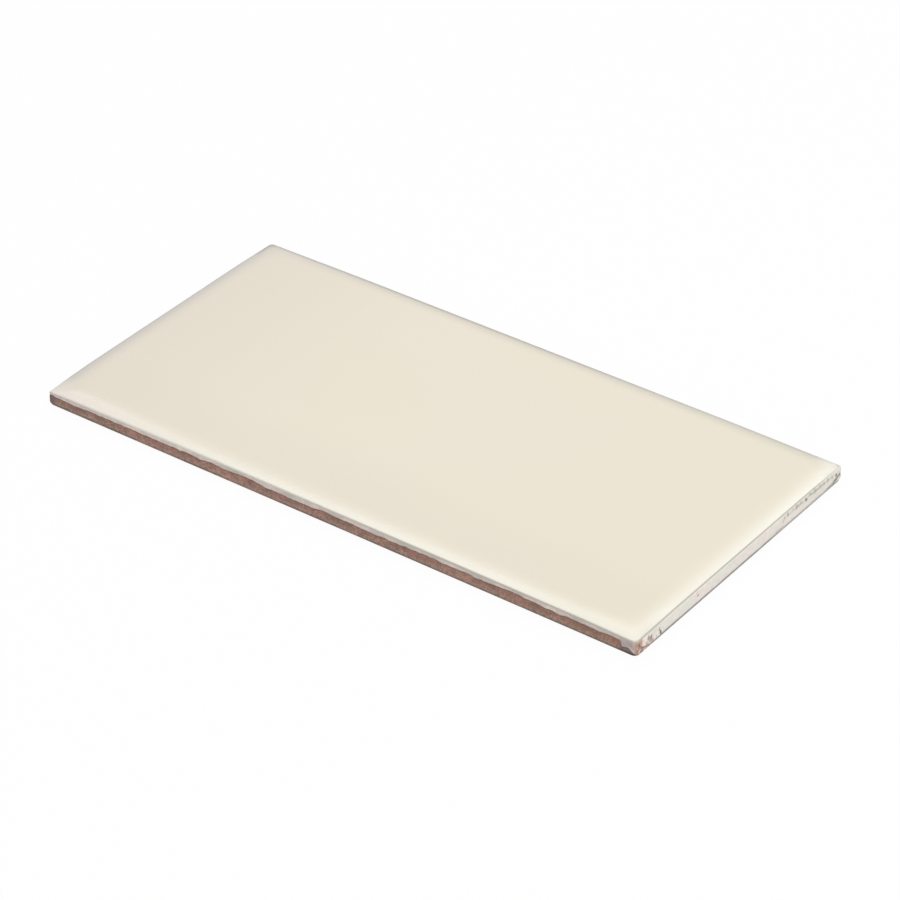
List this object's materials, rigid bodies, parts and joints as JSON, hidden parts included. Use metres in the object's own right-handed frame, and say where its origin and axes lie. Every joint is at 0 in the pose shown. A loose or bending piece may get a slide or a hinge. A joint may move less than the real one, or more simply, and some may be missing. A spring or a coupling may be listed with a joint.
{
  "type": "wall tile",
  "caption": "Thin rectangular glazed ceramic wall tile with a softly crowned face, glaze run down onto its sides and a ribbed back.",
  "frame": {"origin": "centre of the back, on the plane that its ribs stand on", "axes": "+X along the length towards the end that the glaze ran down, +Y across the width, +Z out of the glazed face"},
  "size_m": [0.2, 0.1, 0.0065],
  "materials": {
    "fired_clay": "bare fired red clay, matt and slightly rough",
    "cream_glaze": "smooth glossy cream glaze, paler and greyer where it thins out on the sides"
  },
  "bodies": {
    "root": {"clay_body": "fired_clay", "glaze_coat": "cream_glaze"}
  },
  "joints": []
}
